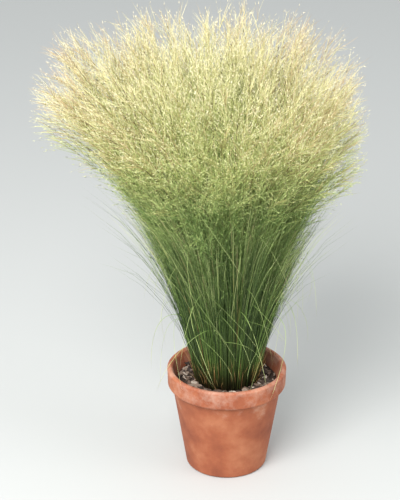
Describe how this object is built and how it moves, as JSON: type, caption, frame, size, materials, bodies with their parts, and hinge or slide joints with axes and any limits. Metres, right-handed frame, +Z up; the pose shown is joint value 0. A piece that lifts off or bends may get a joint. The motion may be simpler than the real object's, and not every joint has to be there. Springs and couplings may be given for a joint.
{
  "type": "potted feather grass",
  "caption": "Clumping ornamental grass with hair-fine upright leaves under a broad cloud of long-awned straw-gold panicles, growing in a plain clay flowerpot.",
  "frame": {"origin": "centre of the pot's underside, on the surface that it stands on", "axes": "+Z up the plant, -Y towards the front, +X to the right seen from the front"},
  "size_m": [0.5782, 0.5995, 0.8342],
  "materials": {
    "clay_pot": "matte",
    "bark_mulch": "matte",
    "grass_leaf": "matte",
    "grass_straw": "matte"
  },
  "bodies": {
    "root": {"pot": "clay_pot", "potting_mix": "bark_mulch", "leaf_tuft_01": "grass_leaf", "leaf_tuft_02": "grass_leaf", "leaf_tuft_03": "grass_leaf", "leaf_tuft_04": "grass_leaf", "leaf_tuft_05": "grass_leaf", "leaf_tuft_06": "grass_leaf", "leaf_tuft_07": "grass_leaf", "leaf_tuft_08": "grass_leaf", "leaf_tuft_09": "grass_leaf", "leaf_tuft_10": "grass_leaf", "leaf_tuft_11": "grass_leaf", "leaf_tuft_12": "grass_leaf", "leaf_tuft_13": "grass_leaf", "leaf_tuft_14": "grass_leaf", "leaf_tuft_15": "grass_leaf", "leaf_tuft_16": "grass_leaf", "leaf_tuft_17": "grass_leaf", "leaf_tuft_18": "grass_leaf", "leaf_tuft_19": "grass_leaf", "leaf_tuft_20": "grass_leaf", "flower_spray_01": "grass_straw", "flower_spray_02": "grass_straw", "flower_spray_03": "grass_straw", "flower_spray_04": "grass_straw", "flower_spray_05": "grass_straw", "flower_spray_06": "grass_straw", "flower_spray_07": "grass_straw", "flower_spray_08": "grass_straw", "flower_spray_09": "grass_straw", "flower_spray_10": "grass_straw", "flower_spray_11": "grass_straw", "flower_spray_12": "grass_straw", "flower_spray_13": "grass_straw", "flower_spray_14": "grass_straw", "flower_spray_15": "grass_straw", "flower_spray_16": "grass_straw", "flower_spray_17": "grass_straw", "flower_spray_18": "grass_straw", "flower_spray_19": "grass_straw", "flower_spray_20": "grass_straw", "flower_spray_21": "grass_straw", "flower_spray_22": "grass_straw", "flower_spray_23": "grass_straw", "flower_spray_24": "grass_straw", "flower_spray_25": "grass_straw", "flower_spray_26": "grass_straw", "flower_spray_27": "grass_straw"}
  },
  "joints": []
}
